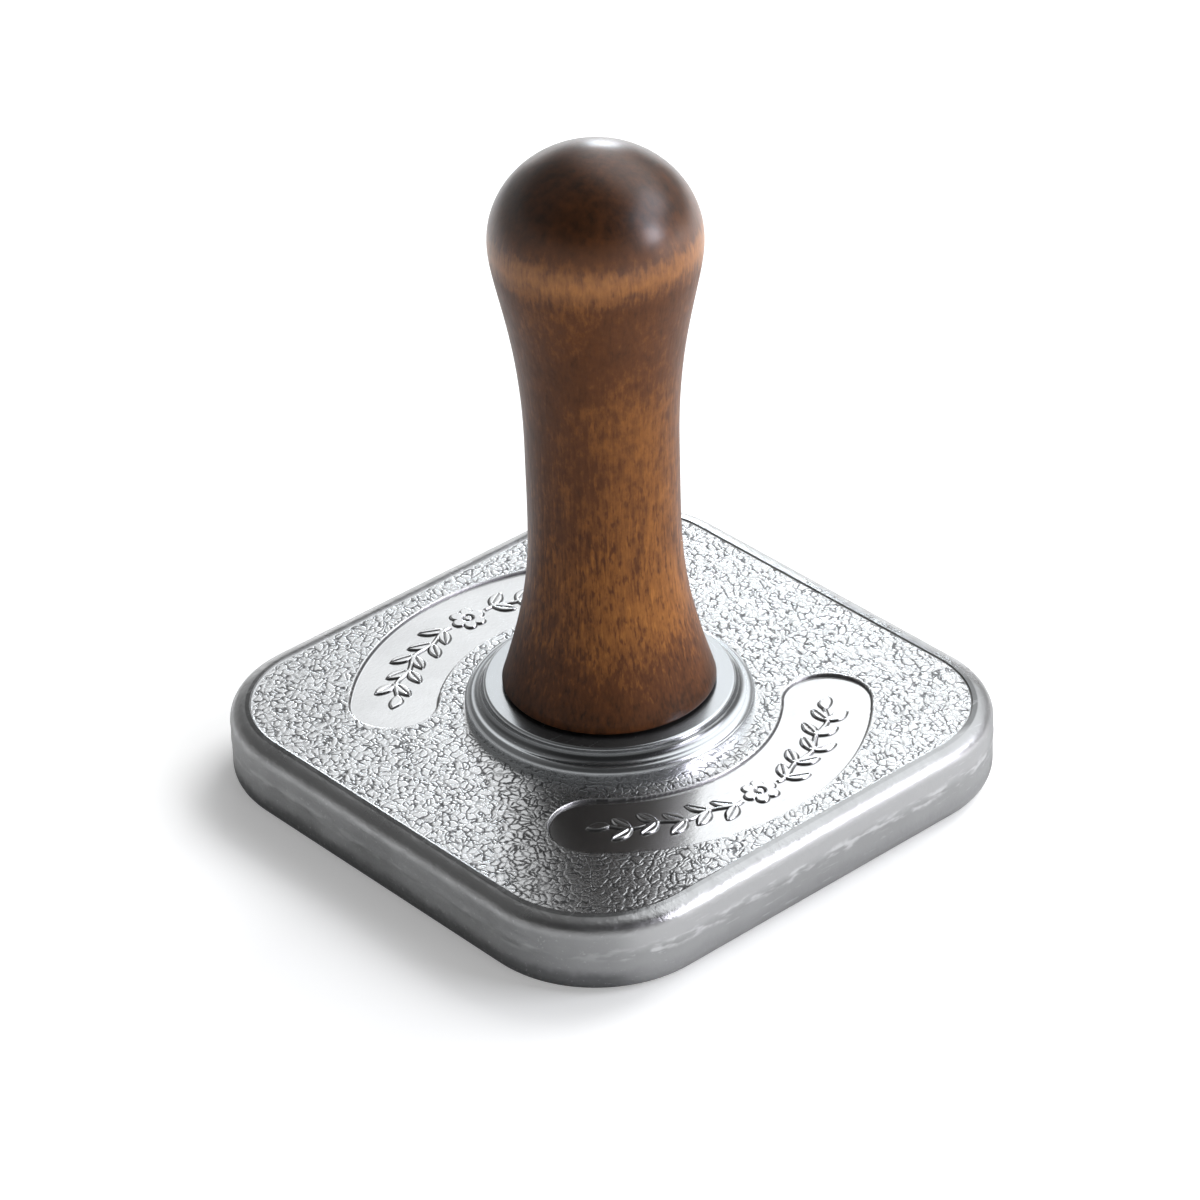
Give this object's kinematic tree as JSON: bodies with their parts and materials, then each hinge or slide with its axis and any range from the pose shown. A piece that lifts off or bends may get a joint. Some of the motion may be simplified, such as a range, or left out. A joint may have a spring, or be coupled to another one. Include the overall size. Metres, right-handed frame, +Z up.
{
  "type": "cookie stamp",
  "caption": "Cookie stamp: rounded square cast aluminium head with a raised pattern on its face, and a turned hardwood handle that screws off.",
  "frame": {"origin": "on the table under the middle of the stamping face", "axes": "+Z up along the handle, X and Y square to the head's sides; the two smooth panels lie on the +X and -X sides"},
  "size_m": [0.0762, 0.0762, 0.0862],
  "materials": {
    "cast_aluminium": "as cast, with a crackled field, and bright polished edges and boss",
    "stained_hardwood": "walnut brown stain under a satin clear coat",
    "black_rubber": "matt",
    "brass": "turned",
    "zinc_plated_steel": "zinc plated"
  },
  "bodies": {
    "head": {"stamp_head": "cast_aluminium"},
    "washer": {"foot_washer": "black_rubber"},
    "handle": {"handle": "stained_hardwood", "threaded_insert": "brass", "stud": "zinc_plated_steel"}
  },
  "joints": [
    {"name": "handle_turn", "type": "hinge", "parent": "head", "child": "washer", "pos_m": [0, 0, 0.0132], "axis": [0, 0, 1], "range_deg": [0, 2160]},
    {"name": "handle_rise", "type": "slide", "parent": "washer", "child": "handle", "axis": [0, 0, 1], "range_m": [0, 0.00762]}
  ],
  "couplings": [
    {"joint": "handle_rise", "follows": "handle_turn", "m_per_rad": 0.00020213}
  ]
}
